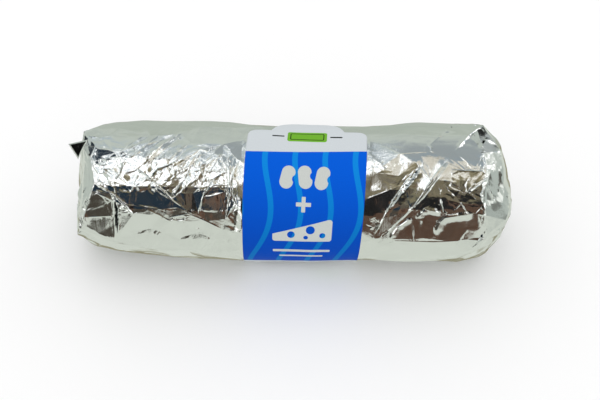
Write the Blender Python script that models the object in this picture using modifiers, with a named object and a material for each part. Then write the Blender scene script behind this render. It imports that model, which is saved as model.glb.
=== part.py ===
"""A rolled taco shut in kitchen foil, with a wrap label stuck round its middle.

The roll lies along X with its label to the front, -Y. Metres, +Z up. The origin is on the table,
under the middle of the roll. Angles round the roll are in degrees: 0 is the front, 90 the top,
180 the back and -90 the underside.
"""

import math

import bmesh
import bpy
from mathutils import Vector, noise

# --- Driving dimensions ---------------------------------------------------------------------------
AXIS_Y = -0.0004
AXIS_HEIGHT = 0.0210

# Along the roll: (x, radius, how far the middle sits towards the upper back).
STATIONS = (
    (-0.0665, 0.0206, 0.0010),
    (-0.0570, 0.0221, 0.0006),
    (-0.0475, 0.0226, 0.0006),
    (-0.0310, 0.0231, 0.0000),
    (-0.0140, 0.0231, -0.0006),
    (0.0040, 0.0228, -0.0006),
    (0.0235, 0.0225, -0.0002),
    (0.0400, 0.0235, 0.0004),
    (0.0540, 0.0233, 0.0003),
    (0.0620, 0.0228, 0.0002),
)
RADIUS = 0.0228
LIFT_ANGLE = 135.0
# Out of round, as shares of the radius: an oval, and three slight lobes that turn along the roll.
OVAL, OVAL_TURN = 0.010, -70.0
LOBES, LOBE_TURN_PER_METRE = 0.006, 4000.0

# Folded ends: how far each bulges past its last station, and how square its shoulder is.
LEFT_BULGE, LEFT_SQUARENESS = 0.0042, 3.5
RIGHT_BULGE, RIGHT_SQUARENESS = 0.0115, 1.75
LEFT_PLEATS, RIGHT_PLEATS = 7, 6
PLEAT_DEPTH = 0.0009
PLEAT_TWIST = 0.45
PLEAT_UNEVENNESS = 0.30
FLAP_STEP = 0.0007
LEFT_FLAP, RIGHT_FLAP = (-60.0, 0.1), (120.0, 0.0)

# Corners of foil that stand out of the left end: (angle, share of the radius, length, half width).
EAR = (84.0, 0.92, 0.0052, 0.0052)
HEEL = (8.0, 0.86, 0.0016, 0.0090)

# Soft food settles on the table: the underside is flat, with a rounded edge.
SETTLE_ROUND = 0.0009

# Label, cut from flat paper: width across the roll, and lengths measured round it.
LABEL_X = 0.0042
LABEL_WIDTH = 0.0387
LABEL_TOP_ANGLE = 105.0
LABEL_LENGTH = 0.0985
LABEL_CORNER = 0.0030
LABEL_SKEW = 2.0
LABEL_SKEW_CENTRE = 0.035
TAB_HALF_WIDTH, TAB_HEIGHT = 0.0117, 0.0095
LABEL_RADIUS = 0.0226
LABEL_GAP, LABEL_THICKNESS = 0.0003, 0.0004
LABEL_RECESS = 0.0008
RECESS_MARGIN, RECESS_EDGE = 0.0026, 0.0030
# What the foil is kept clear of the table under the label.
UNDER_LABEL = LABEL_GAP + LABEL_THICKNESS + 0.0001

# Relief of the foil: crumples of two sizes, long folds, and the sheet's free edge along the back.
CRUMPLES = ((0.0170, 0.00085, 20.0), (0.0095, 0.00055, -25.0))
FOLD_HEIGHT, FOLD_REACH = 0.0007, 0.0060
FOLDS = (
    # (x, angle) of one end, (x, angle) of the other
    ((-0.0600, 72.0), (-0.0330, 32.0)),
    ((-0.0665, 51.0), (-0.0270, 0.0)),
    ((-0.0470, 64.0), (-0.0340, 100.0)),
    ((-0.0640, 150.0), (-0.0360, 112.0)),
    ((0.0270, -4.0), (0.0410, 62.0)),
    ((0.0330, -4.0), (0.0510, 70.0)),
    ((0.0440, 74.0), (0.0560, 124.0)),
    ((0.0530, 76.0), (0.0640, 120.0)),
    ((0.0340, 200.0), (0.0600, 150.0)),
    ((-0.0620, 215.0), (-0.0300, 180.0)),
)
SEAM_ANGLE, SEAM_SLANT = 158.0, 160.0
SEAM_STEP, SEAM_REACH = 0.0006, 0.0180

# Mesh density
AROUND, ALONG = 54, 60
LABEL_COLUMNS, LABEL_END_ROWS, LABEL_MIDDLE_ROWS = 20, 4, 29
LABEL_HEM = 0.0050
PROFILE_STEPS = 400

FOIL_COLOUR, FOIL_ROUGHNESS = (0.78, 0.79, 0.77, 1.0), 0.22
LABEL_COLOUR, LABEL_ROUGHNESS = (0.02, 0.13, 0.62, 1.0), 0.45


def smooth_step(low, high, value):
    """0 below low, 1 above high, and a smooth ramp between."""
    t = min(1.0, max(0.0, (value - low) / (high - low)))
    return t * t * (3.0 - 2.0 * t)


def direction(angle):
    """The unit vector out of the roll's axis at an angle in degrees."""
    a = math.radians(angle)
    return Vector((0.0, -math.cos(a), math.sin(a)))


def turn(angle):
    """An angle in degrees brought to -180 to 180."""
    return (angle + 180.0) % 360.0 - 180.0


# --- The plain roll -------------------------------------------------------------------------------
def station(x):
    """(radius, lift) at x, eased between the stations."""
    if x <= STATIONS[0][0]:
        return STATIONS[0][1:]
    for (x0, r0, l0), (x1, r1, l1) in zip(STATIONS, STATIONS[1:]):
        if x <= x1:
            t = smooth_step(x0, x1, x)
            return r0 + t * (r1 - r0), l0 + t * (l1 - l0)
    return STATIONS[-1][1:]


def label_angle(arc):
    """The angle round the roll at a distance down the label from its top edge."""
    return LABEL_TOP_ANGLE - math.degrees(arc / LABEL_RADIUS)


def label_to_roll(across, down):
    """(x, angle) of a point of the flat label, which sits a little askew."""
    skew = math.radians(LABEL_SKEW)
    x = LABEL_X + across - (down - LABEL_SKEW_CENTRE) * math.sin(skew)
    return x, label_angle(down + across * math.sin(skew))


def roll_to_label(x, angle):
    """(across, down) on the flat label of a point of the roll: label_to_roll's reverse, near enough."""
    skew = math.radians(LABEL_SKEW)
    middle = LABEL_TOP_ANGLE - math.degrees(0.5 * LABEL_LENGTH / LABEL_RADIUS)
    down = 0.5 * LABEL_LENGTH - math.radians(turn(angle - middle)) * LABEL_RADIUS
    across = x - LABEL_X + (down - LABEL_SKEW_CENTRE) * math.sin(skew)
    return across, down - across * math.sin(skew)


def label_top(across):
    """How far down the label its upper edge is: rounded corners, and the tab that stands above it."""
    share = abs(across) / TAB_HALF_WIDTH
    if share < 1.0:
        return -TAB_HEIGHT * (1.0 - share**2.4) ** 0.7
    return corner_drop(across)


def label_bottom(across):
    return LABEL_LENGTH - corner_drop(across)


def corner_drop(across):
    """What a rounded corner takes off the label's end."""
    inset = abs(across) - (0.5 * LABEL_WIDTH - LABEL_CORNER)
    if inset <= 0.0:
        return 0.0
    return LABEL_CORNER - math.sqrt(max(0.0, LABEL_CORNER**2 - inset**2))


def under_label(x, angle):
    """1 under the label, 0 well clear of it."""
    across, down = roll_to_label(x, angle)
    beside = abs(across) - 0.5 * LABEL_WIDTH
    above = label_top(0.8 * across) - down
    below = down - LABEL_LENGTH
    outside = max(beside, above, below)
    return 1.0 - smooth_step(RECESS_MARGIN, RECESS_MARGIN + RECESS_EDGE, outside)


def settled(z, floor):
    """z kept above the floor, with a rounded edge where the roll leaves it."""
    overlap = max(SETTLE_ROUND - abs(z - floor), 0.0) / SETTLE_ROUND
    return max(z, floor) + 0.25 * overlap * overlap * SETTLE_ROUND


def plain_point(x, angle, share):
    """A point of the roll without its relief. share is 1 on the side, and 0 in the middle of an end."""
    radius, lift = station(x)
    covered = under_label(x, angle)
    out_of_round = OVAL * math.cos(math.radians(2.0 * angle + OVAL_TURN))
    out_of_round += LOBES * math.cos(math.radians(3.0 * angle + LOBE_TURN_PER_METRE * x))
    radius = radius * (1.0 + out_of_round) - LABEL_RECESS * covered
    middle = direction(LIFT_ANGLE) * lift + Vector((x, AXIS_Y, AXIS_HEIGHT))
    point = middle + direction(angle) * radius * share
    point.z = settled(point.z, covered * UNDER_LABEL)
    return point


def plain_normal(x, angle, share):
    """The outward direction of the plain roll's side."""
    step, turn_step = 0.0008, 2.0
    along = plain_point(x + step, angle, share) - plain_point(x - step, angle, share)
    ahead, behind = plain_point(x, angle + turn_step, share), plain_point(x, angle - turn_step, share)
    return along.cross(ahead - behind).normalized()


# --- Relief of the foil ---------------------------------------------------------------------------
def triangle_wave(turns):
    """-1 to 1 and back in straight lines, once for each whole number."""
    return 4.0 * abs((turns % 1.0) - 0.5) - 1.0


def pleats(angle, share, count, hand):
    """Folds that gather the foil towards the middle of an end, deepest half way in."""
    turns = angle / 360.0 * count + hand * PLEAT_TWIST * (1.0 - share)
    # Uneven pleats: the wave runs faster on one side of the roll than on the other.
    turns += PLEAT_UNEVENNESS * math.sin(math.radians(angle + 40.0 * hand))
    depth = smooth_step(0.0, 0.45, share) * (1.0 - 0.65 * smooth_step(0.8, 1.0, share))
    return PLEAT_DEPTH * depth * triangle_wave(turns)


def flap(angle, share, shape):
    """The step where the last fold of an end lies over the others, along a slanting line."""
    slope, offset = shape
    side = (direction(angle) * share).dot(direction(slope)) - offset
    return FLAP_STEP * smooth_step(-0.06, 0.06, side)


def corner(angle, share, shape):
    """How far a corner of foil stands out of an end here."""
    corner_angle, corner_share, length, half_width = shape
    radius = STATIONS[0][1]
    beside = math.radians(turn(angle - corner_angle)) * radius
    within = (share - corner_share) * radius
    return length * max(0.0, 1.0 - math.hypot(beside, 1.5 * within) / half_width)


def knot_height(column, row, size):
    """-1 to 1, the same for one lattice point each time."""
    return noise.noise(Vector((7.31 * column + 0.5, 5.17 * row + 0.5, 900.0 * size)))


def facets(across, down, size, slope):
    """-1 to 1: flat triangles that meet in straight creases, on a turned lattice."""
    a = math.radians(slope)
    u = (across * math.cos(a) + down * math.sin(a)) / size
    v = (down * math.cos(a) - across * math.sin(a)) / size
    column, row = math.floor(u), math.floor(v)
    du, dv = u - column, v - row
    first = knot_height(column, row, size)
    last = knot_height(column + 1, row + 1, size)
    if du > dv:
        middle = knot_height(column + 1, row, size)
        return first + du * (middle - first) + dv * (last - middle)
    middle = knot_height(column, row + 1, size)
    return first + dv * (middle - first) + du * (last - middle)


def crumple(x, angle):
    """Two sizes of facets, all round. The lattice's join is on the underside, where it is pressed flat."""
    down = math.radians(turn(angle - 90.0)) * RADIUS
    return sum(2.0 * height * facets(x, down, size, slope) for size, height, slope in CRUMPLES)


def fold(x, angle, line):
    """A fold laid over: a sharp step along a straight line, fading on one side of it."""
    (x0, angle0), (x1, angle1) = line
    along = (x1 - x0, math.radians(angle1 - angle0) * RADIUS)
    here = (x - x0, math.radians(turn(angle - angle0)) * RADIUS)
    length = math.hypot(*along)
    run = (here[0] * along[0] + here[1] * along[1]) / length
    side = (here[0] * along[1] - here[1] * along[0]) / length
    ends = smooth_step(0.0, 0.2 * length, run) * (1.0 - smooth_step(0.8 * length, length, run))
    return FOLD_HEIGHT * ends * one_sided(side, FOLD_REACH)


def one_sided(side, reach):
    """1 at the edge of a fold, dropping at once before it and slowly behind it."""
    if side < 0.0:
        return max(0.0, 1.0 + side / (0.25 * reach))
    return max(0.0, 1.0 - side / reach)


def seam(x, angle):
    """The free edge of the foil sheet, which runs along the back at a slight slant."""
    side = math.radians(turn(SEAM_ANGLE + SEAM_SLANT * x - angle)) * RADIUS
    return SEAM_STEP * one_sided(side, SEAM_REACH)


def crumpled_share(angle):
    """The foil is pulled smooth low on the front, and crumpled elsewhere."""
    return 0.35 + 0.65 * smooth_step(45.0, 90.0, abs(turn(angle + 50.0)))


def relief(point, x, angle):
    """How far the foil stands off the plain roll here."""
    height = crumple(x, angle) * crumpled_share(angle) + seam(x, angle)
    height += max(fold(x, angle, line) for line in FOLDS)
    off_table = smooth_step(0.0, 0.0030, point.z)
    return height * (1.0 - under_label(x, angle)) * off_table


# --- Foil -----------------------------------------------------------------------------------------
def end_outline(end_x, bulge, squareness):
    """(x, share) from an end's middle out to its last station, as a rounded shoulder."""
    outline = []
    for step in range(PROFILE_STEPS + 1):
        a = 0.5 * math.pi * step / PROFILE_STEPS
        share = math.sin(a) ** (2.0 / squareness)
        outline.append((end_x + bulge * math.cos(a) ** (2.0 / squareness), share))
    return outline


def lengthways_profile():
    """(x, share) along the roll, from the left end's middle to the right end's."""
    left_x, right_x = STATIONS[0][0], STATIONS[-1][0]
    left = end_outline(left_x, -LEFT_BULGE, LEFT_SQUARENESS)
    right = end_outline(right_x, RIGHT_BULGE, RIGHT_SQUARENESS)
    return left + right[::-1]


def evenly_along(profile, count):
    """count + 1 points of the profile, evenly spaced along its length."""
    lengths = [0.0]
    for (x0, s0), (x1, s1) in zip(profile, profile[1:]):
        lengths.append(lengths[-1] + math.hypot(x1 - x0, (s1 - s0) * RADIUS))
    points, k = [], 0
    for i in range(count + 1):
        wanted = lengths[-1] * i / count
        while k < len(lengths) - 2 and lengths[k + 1] < wanted:
            k += 1
        span = max(lengths[k + 1] - lengths[k], 1e-9)
        t = min(1.0, (wanted - lengths[k]) / span)
        (x0, s0), (x1, s1) = profile[k], profile[k + 1]
        points.append((x0 + t * (x1 - x0), s0 + t * (s1 - s0)))
    return points


def foil_point(x, angle, share):
    """A point of the foil's surface, relief included."""
    plain = plain_point(x, angle, share)
    side = smooth_step(0.80, 1.0, share)
    point = plain + plain_normal(x, angle, 1.0) * relief(plain, x, angle) * side
    if x < STATIONS[0][0]:
        ends = pleats(angle, share, LEFT_PLEATS, 1.0) + flap(angle, share, LEFT_FLAP)
        point.x -= ends * (1.0 - side) + corner(angle, share, EAR) + corner(angle, share, HEEL)
    elif x > STATIONS[-1][0]:
        ends = pleats(angle, share, RIGHT_PLEATS, -1.0) + flap(angle, share, RIGHT_FLAP)
        point.x += ends * (1.0 - side)
    point.z = max(point.z, 0.0)
    return point


def make_foil(collection):
    """A sphere's rings and segments, laid out along the roll and shaped by foil_point."""
    bm = bmesh.new()
    bmesh.ops.create_uvsphere(bm, u_segments=AROUND, v_segments=ALONG, radius=1.0)
    stops = evenly_along(lengthways_profile(), ALONG)
    for vertex in bm.verts:
        latitude = math.acos(max(-1.0, min(1.0, -vertex.co.z)))
        x, share = stops[round(latitude / math.pi * ALONG)]
        angle = math.degrees(math.atan2(vertex.co.x, vertex.co.y))
        vertex.co = foil_point(x, angle, share)
    bmesh.ops.triangulate(bm, faces=bm.faces)
    bmesh.ops.recalc_face_normals(bm, faces=bm.faces)
    return add_mesh(bm, "foil_wrap", collection)


# --- Label ----------------------------------------------------------------------------------------
def label_rows(across):
    """The rows' distances down the label: level in the middle, bent to the outline at both ends."""
    top, bottom = label_top(across), label_bottom(across)
    first, last = LABEL_HEM, LABEL_LENGTH - LABEL_HEM
    rows = [top + (first - top) * i / LABEL_END_ROWS for i in range(LABEL_END_ROWS)]
    for i in range(LABEL_MIDDLE_ROWS):
        rows.append(first + (last - first) * i / LABEL_MIDDLE_ROWS)
    rows += [last + (bottom - last) * i / LABEL_END_ROWS for i in range(LABEL_END_ROWS + 1)]
    return rows


def make_label(collection):
    """A grid cut to the label's outline and wrapped on the roll, then thickened."""
    bm = bmesh.new()
    steps = 2 * LABEL_END_ROWS + LABEL_MIDDLE_ROWS
    bmesh.ops.create_grid(bm, x_segments=LABEL_COLUMNS, y_segments=steps, size=1.0)
    stand_off = LABEL_GAP + 0.5 * LABEL_THICKNESS
    for vertex in bm.verts:
        across = 0.5 * LABEL_WIDTH * vertex.co.x
        row = round(0.5 * (1.0 - vertex.co.y) * steps)
        x, angle = label_to_roll(across, label_rows(across)[row])
        vertex.co = plain_point(x, angle, 1.0) + plain_normal(x, angle, 1.0) * stand_off
    bmesh.ops.recalc_face_normals(bm, faces=bm.faces)
    label = add_mesh(bm, "paper_label", collection)
    shell = label.modifiers.new("paper", "SOLIDIFY")
    shell.thickness = LABEL_THICKNESS
    shell.offset = 0.0
    return label


# --- Scene ----------------------------------------------------------------------------------------
def add_mesh(bm, name, collection):
    mesh = bpy.data.meshes.new(name)
    bm.to_mesh(mesh)
    bm.free()
    mesh.shade_smooth()
    mesh.set_sharp_from_angle(angle=math.radians(12.0))
    piece = bpy.data.objects.new(name, mesh)
    collection.objects.link(piece)
    return piece


def material(name, colour, roughness, metallic):
    made = bpy.data.materials.new(name)
    made.use_nodes = True
    shader = made.node_tree.nodes["Principled BSDF"]
    shader.inputs["Base Color"].default_value = colour
    shader.inputs["Roughness"].default_value = roughness
    shader.inputs["Metallic"].default_value = metallic
    return made


def main():
    for old in list(bpy.data.objects):
        bpy.data.objects.remove(old)
    collection = bpy.data.collections.new("foil_wrapped_taco")
    bpy.context.scene.collection.children.link(collection)
    foil = make_foil(collection)
    foil.data.materials.append(material("foil", FOIL_COLOUR, FOIL_ROUGHNESS, 1.0))
    label = make_label(collection)
    label.data.materials.append(material("label_paper", LABEL_COLOUR, LABEL_ROUGHNESS, 0.0))


main()
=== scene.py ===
"""The looks of a rolled taco shut in kitchen foil, with a wrap label round its middle.

The roll lies along X with its label to the front, -Y. Lengths are in metres unless a name says mm, and
angles are in degrees. An angle round the roll is 0 at the front, 90 on top, 180 at the back and -90
underneath.
"""

import math

import bpy
import numpy as np
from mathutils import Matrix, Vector
from mathutils.geometry import delaunay_2d_cdt


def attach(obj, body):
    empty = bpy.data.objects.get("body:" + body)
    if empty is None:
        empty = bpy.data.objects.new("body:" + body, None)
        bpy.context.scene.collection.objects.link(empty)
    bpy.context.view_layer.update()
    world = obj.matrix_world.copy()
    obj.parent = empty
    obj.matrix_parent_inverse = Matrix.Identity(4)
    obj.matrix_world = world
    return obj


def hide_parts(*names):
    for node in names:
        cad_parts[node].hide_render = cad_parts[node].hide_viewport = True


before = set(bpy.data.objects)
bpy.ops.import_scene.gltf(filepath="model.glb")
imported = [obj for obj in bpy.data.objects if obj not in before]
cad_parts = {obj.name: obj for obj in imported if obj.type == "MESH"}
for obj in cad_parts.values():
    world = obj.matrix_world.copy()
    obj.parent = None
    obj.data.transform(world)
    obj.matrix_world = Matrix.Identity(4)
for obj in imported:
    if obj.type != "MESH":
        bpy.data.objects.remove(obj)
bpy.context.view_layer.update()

MM = 0.001

# --- The roll's shape, as the CAD has it ---
AXIS_Y = -0.0004
AXIS_HEIGHT = 0.0210

# Along the roll: (x, radius, how far the middle sits towards the upper back).
STATIONS = np.array(
    (
        (-0.0665, 0.0206, 0.0010),
        (-0.0570, 0.0221, 0.0006),
        (-0.0475, 0.0226, 0.0006),
        (-0.0310, 0.0231, 0.0000),
        (-0.0140, 0.0231, -0.0006),
        (0.0040, 0.0228, -0.0006),
        (0.0235, 0.0225, -0.0002),
        (0.0400, 0.0234, 0.0005),
        (0.0540, 0.0234, 0.0006),
        (0.0620, 0.0233, 0.0007),
    )
)
LIFT_ANGLE = 135.0
LEFT_BULGE, LEFT_SQUARENESS = 0.0060, 3.5
RIGHT_BULGE, RIGHT_SQUARENESS = 0.0124, 1.75
SETTLE_ROUND = 0.0009
RADIUS = 0.0228
# The roll is a little oval and three-lobed, as shares of its radius.
OVAL, OVAL_ANGLE = 0.010, 70.0
LOBES, LOBES_TWIST = 0.006, 4000.0

LABEL_X = 0.0042
LABEL_WIDTH, LABEL_LENGTH = 0.0387, 0.0985
LABEL_TOP_ANGLE = 105.0
LABEL_CORNER = 0.0030
LABEL_SKEW, LABEL_SKEW_CENTRE = math.radians(2.0), 0.035
TAB_HALF_WIDTH, TAB_HEIGHT = 0.0117, 0.0095
LABEL_RADIUS = 0.0226
# The paper is pulled a little narrower where it goes under the roll.
WIDTH_SHARE_TOP, WIDTH_SHARE_BOTTOM = 0.984, 0.958
NARROW_FROM, NARROW_TO = 0.010, 0.057
PAPER_THICKNESS = 0.00014
PAPER_INSIDE_DEPTH = 0.00002
FOIL_UNDER_PAPER = 0.00008

# --- The foil's facets ---
SEED = 11
FACET_SPACING = 0.0079
LARGE_HEIGHT_MM = 0.45
SHARP_ANGLE = 9.0

# Each time the facets are split in four: height in mm of the new corners, share of them that move, how
# flat each facet is between its corners, play of the new corners along their edges, and which of a
# zone's strengths counts.
SPLITS = (
    (0.24, 0.8, 0.75, 0.15, 0),
    (0.12, 0.7, 0.45, 0.12, 1),
    (0.05, 0.6, 0.2, 0.08, 2),
    (0.014, 0.5, 0, 0, 2),
)

# Creases seen on the front, each a line of (x in mm, angle) corners, with: how far its corners stand out
# in mm, the height of its sharp ridge in mm, and the ridge's reach to either side in mm.
CREASES = (
    # left end: the bevel's ridge, the dark flap, and the dark triangle under it
    (((-61.7, 81), (-62.9, 69), (-61, 48), (-62.9, 32), (-66.5, 2)), 0.1, 0.04, 0.4, 0.4),
    (((-61.8, 79), (-56.3, 76), (-51.8, 66)), 0.1, 0.08, 0.4, 0.4),
    (((-61.6, 66), (-54.7, 69), (-51.8, 66)), 0, 0.06, 0.3, 0.3),
    (((-51.8, 66), (-53.1, 55), (-54.8, 49)), 0.1, 0.1, 0.3, 0.3),
    (((-61, 47), (-54.2, 37), (-51, 31)), 0.1, 0.1, 0.3, 0.4),
    (((-64.4, 15), (-56.4, 18), (-58, 32)), 0.1, 0.05, 0.4, 0.4),
    (((-60.3, 38), (-54.8, 32)), 0, 0.1, 0.4, 0.6),
    (((-64.3, 21), (-57.3, 29)), 0, 0.08, 0.4, 0.6),
    (((-46.9, 57), (-48.6, 44), (-50.1, 38)), 0.1, 0.08, 0.3, 0.4),
    # the folded corner above them
    (((-66, 96), (-61.5, 103)), 0.2, 0.16, 0.3, 0.8),
    (((-64.5, 92), (-60.5, 89), (-57.6, 91), (-54.9, 103)), 0.1, 0.14, 0.3, 1.2),
    # long diagonals that run down to the right
    (((-51.8, 66), (-43.3, 52), (-36.4, 36), (-31, 27)), 0.2, 0.1, 0.3, 0.3),
    (((-54.2, 37), (-51, 29), (-48.9, 22)), 0.2, 0.18, 0.3, 0.5),
    (((-44.2, 26), (-40.6, 22), (-37.3, 17)), 0.1, 0.14, 0.3, 0.3),
    # streaks that run up to the right
    (((-43.4, 53), (-41, 60), (-37.9, 63), (-35.8, 66)), 0.1, 0.16, 0.3, 0.4),
    (((-37.5, 68), (-33.4, 81)), 0.2, 0.16, 0.4, 1.4),
    (((-45.3, 68), (-35, 95)), 0.2, 0.22, 0.4, 1.8),
    (((-53.4, 74), (-44.5, 85)), 0.1, 0.14, 0.4, 1.4),
    (((-24.3, 76), (-21, 85)), 0.1, 0.14, 0.3, 0.8),
    # edges of the facets left of the label
    (((-23.1, 70), (-19.8, 60), (-27.5, 60)), 0.1, 0.06, 0.3, 0.4),
    (((-22.5, 73), (-18.6, 62), (-18.7, 50)), 0.2, 0.08, 0.3, 0.4),
    (((-47.6, 38), (-43.3, 44), (-36.4, 36)), 0, 0.05, 0.4, 0.4),
    (((-48.6, 30), (-40.2, 28), (-35.2, 30), (-28.4, 25)), 0, 0.05, 0.4, 0.4),
    (((-37.2, 21), (-31.5, 25), (-21, 13)), 0.1, 0.06, 0.3, 0.3),
    (((-26.1, 45), (-28.4, 25)), 0, 0.1, 0.3, 0.3),
    (((-26.8, 40), (-23.4, 49), (-18.7, 50)), 0.2, 0.04, 0.4, 0.4),
    (((-18.1, 53), (-18.4, 41), (-20, 22)), 0.1, 0.08, 0.3, 0.3),
    (((-16.5, 35), (-20, 22)), 0.1, 0.12, 0.4, 0.4),
    # the two long ridges right of the label
    (((26.2, 4), (29.3, 23), (31.9, 37), (35.5, 50), (39.3, 63)), 0, 0.16, 0.3, 0.3),
    (((28.2, 0), (32.5, 16), (37.6, 30), (42, 42), (49.2, 66)), 0.1, 0.18, 0.3, 0.4),
    # folds whose lower side is a pale strip
    (((31.7, 4), (34, 15), (37.2, 22), (39.3, 22)), 0.1, 0.26, 0.8, 1.6),
    (((39.3, 22), (42.4, 31), (47.8, 28)), 0.1, 0.26, 0.8, 1.4),
    (((45.7, 7), (47, 20), (48.5, 24), (57.9, 28)), 0.1, 0.36, 1, 2),
    # a broad blade of foil on the second long ridge
    (((41.5, 44), (45.2, 54), (49.2, 67)), 0.1, 0.42, 2.6, 0.5),
    # edges of the facets right of the label
    (((46.7, 40), (47.8, 28)), 0.1, 0.16, 0.3, 0.4),
    (((50.4, 28), (53.2, 36), (55.2, 28)), 0.1, 0.08, 0.3, 0.3),
    (((24.1, 40), (31.8, 47)), 0.1, 0.05, 0.3, 0.3),
    (((25.9, 61), (33.7, 57)), 0.1, 0.04, 0.3, 0.3),
    (((39.3, 67), (43.9, 53)), 0, 0.06, 0.3, 0.3),
    (((43.5, 53), (49.6, 71)), 0.1, 0.12, 0.4, 0.5),
    (((42.3, 79), (47, 93), (52.6, 117)), 0, 0.03, 0.3, 0.3),
    (((25.6, 72), (34.4, 75), (42.3, 76)), 0.1, 0.03, 0.3, 0.3),
    (((46.9, 53), (50.3, 52), (49.1, 47)), 0.1, 0.08, 0.3, 0.3),
    (((49.8, 61), (59.7, 60)), 0.1, 0.1, 0.3, 0.4),
    (((33.5, 3), (45.3, 2), (56.3, 4)), 0.2, 0.04, 0.4, 0.4),
    # right end
    (((51.2, 76), (56.7, 95), (62.6, 114)), 0.1, 0.24, 0.5, 0.75),
    (((54.7, 44), (62, 56)), 0.2, 0.2, 0.4, 0.6),
    (((57.5, 63), (60.6, 76)), 0.1, 0.05, 0.3, 0.3),
    (((60, 35), (59.3, 43), (61.4, 51)), 0.2, 0.2, 0.3, 0.8),
    (((58.5, 27), (61.8, 26)), 0.2, 0.1, 0.3, 0.3),
    # wrinkles that the label's edge pulls into the foil beside it
    (((24.6, 102), (25.3, 92), (24.9, 80)), 0, 0.06, 0.3, 0.4),
    (((24.8, 77), (29.3, 66)), 0.1, 0.08, 0.3, 0.4),
    (((-15.6, 70), (-17.5, 60), (-18.3, 50)), 0, 0.1, 0.3, 0.4),
    # folds along the bottom
    (((-56.7, -8), (-48, -14), (-41.8, -18)), 0.2, 0.1, 0.4, 1.5),
    (((26.7, -18), (34.7, -7), (44, -25)), 0.1, 0.06, 0.3, 0.4),
    (((24.6, -26), (36, -33), (48, -31)), 0.1, 0.14, 0.5, 0.6),
    (((57.1, -10), (60.2, 3), (62.5, 8)), 0.1, 0.2, 0.4, 1.2),
    (((47, -26), (54, -22), (60, -8)), 0.1, 0.16, 0.5, 1),
)

# Fans of long folds: where the first and the last start, where they end, how many there are, how far in
# mm they stand out or in, in turns, and the height of their ridges in mm. All have the same reaches.
FANS = (
    ((-52, 76), (-38.6, 64), (-46.6, 92), (-31.7, 84), 8, 0.14, 0.05),
    ((-40.8, 44), (-26.1, 37), (-34.7, 58), (-23.1, 52), 5, 0.12, 0.06),
    ((-34, 62), (-19, 60), (-29, 76), (-17, 74), 6, 0.12, 0.05),
    ((-21.4, 74), (-16, 74), (-19.6, 38), (-16, 36), 4, 0.08, 0.04),
)
FAN_REACHES = (0.3, 0.5)

# Short nicks, which are too small to bend the facets round them: their ends, and their height in mm.
NICKS = (
    ((-36.9, 19), (-34.7, 18), 0.24), ((-34.8, 18), (-32.8, 19), 0.24), ((-32.9, 19), (-31.5, 24), 0.2),
    ((-33.9, 13), (-32, 13), 0.16), ((-31.4, 12), (-29.9, 11), 0.16), ((-29.6, 10), (-28.3, 11), 0.2),
    ((-28, 8), (-25.6, 4), 0.08), ((-25, 2), (-23.9, 9), 0.14), ((-18.3, 12), (-17.2, 9), 0.1),
    ((47, 93), (48.3, 94), 0.16), ((49.2, 100), (50.6, 101), 0.16), ((50.6, 109), (52, 110), 0.16),
    ((52.6, 117), (54, 118), 0.16), ((43.3, 83), (44.5, 79), 0.12), ((43.8, 77), (45, 76), 0.12),
    ((-29.7, 59), (-27.9, 60), 0.14), ((-27.9, 60), (-26.3, 55), 0.12), ((-25.4, 59), (-24.1, 60), 0.16),
    ((-24.1, 60), (-21.6, 60), 0.14), ((-21.6, 60), (-19.8, 59), 0.12), ((-31.3, 98), (-26, 101), 0.06),
    ((-22.4, 74), (-21.2, 74), 0.2), ((-60.5, 55), (-57.5, 56), 0.12), ((-59, 59), (-55.5, 59), 0.12),
    ((-60, 62), (-57, 63), 0.12), ((-57, 52), (-55.8, 46), 0.14), ((-60.3, 51), (-58, 46), 0.14),
    ((62.7, 45), (64.9, 43), 0.16), ((64.9, 43), (66.5, 38), 0.12), ((62.7, 45), (64.3, 38), 0.12),
    ((64.3, 38), (65.9, 35), 0.16), ((61, 79), (62.4, 77), 0.24), ((64.2, 71), (65.4, 68), 0.24),
    ((29.2, 4), (29.2, 8), 0.12), ((31.5, 1), (33, 1), 0.12), ((27, 16), (27.6, 20), 0.14),
    ((-43, 13), (-39.5, 3), 0.06), ((-33.7, 0), (-31, -5), 0.09), ((-31, -5), (-27.1, -15), 0.09),
    ((-25.1, -1), (-20.1, -3), 0.1), ((-32.2, -20), (-28.4, -4), 0.06), ((59, 112), (61, 118), 0.24),
)

# Short pinches along random edges of the facets: the share of edges and their greatest height in mm.
LONG_PINCHES, SHORT_PINCHES = (0.08, 0.08), (0.06, 0.07)
PINCH_REACH = 0.3

# Foil within this distance of a crease is drawn towards it.
DRAWN_FROM = 0.0012

# Flats pressed into the side: (x in mm, angle, depth in mm, turn towards +X, turn upwards, the flat's half
# length in mm, and how far it shifts towards +X for each mm up the side).
FLATS = (
    (-57, 70, 0.25, -8, 0, 5.5, 0),
    (-62, 21, 1.15, -3, -1, 8, 0),
    (-42, 35, 0.3, 0, 0, 8, 0),
    (-47.5, 58, 0.25, 0, 0, 5, 0),
    (28, 38, 0.35, -2, -2, 5.6, 0.72),
    (30.3, 54, 0.3, -2, 0, 8.5, 0.72),
    (34, 17, 0.6, -2, 0, 9, 0),
    (48, 16, 0.65, 1.5, 0, 14, 0),
    (61, 25, 0.05, 0, -16, 3.6, 0.5),
)
# Flats that bevel the ends: (x in mm, angle, depth in mm, turn towards +X).
BEVELS = (
    (-61.8, 50, 0, -40),
    (-65.5, 110, 0.2, -38),
    (-62, 165, 0.2, -40),
    (-62, 225, 0.2, -38),
    (60.5, 78, 0.2, 24),
    (60.5, 48, 0.3, 28),
    (60.5, 18, 0.3, 30),
    (60.5, -12, 0.3, 26),
    (64, 108, 0.2, 26),
    (61, 140, 0.3, 24),
    (59.5, 175, 0.3, 26),
    (60.5, 215, 0.3, 26),
)
# A flat keeps its depth over this share of its half length, then rises by this much.
FLAT_SHARE, FLAT_RISE = 0.75, 0.002

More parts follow.
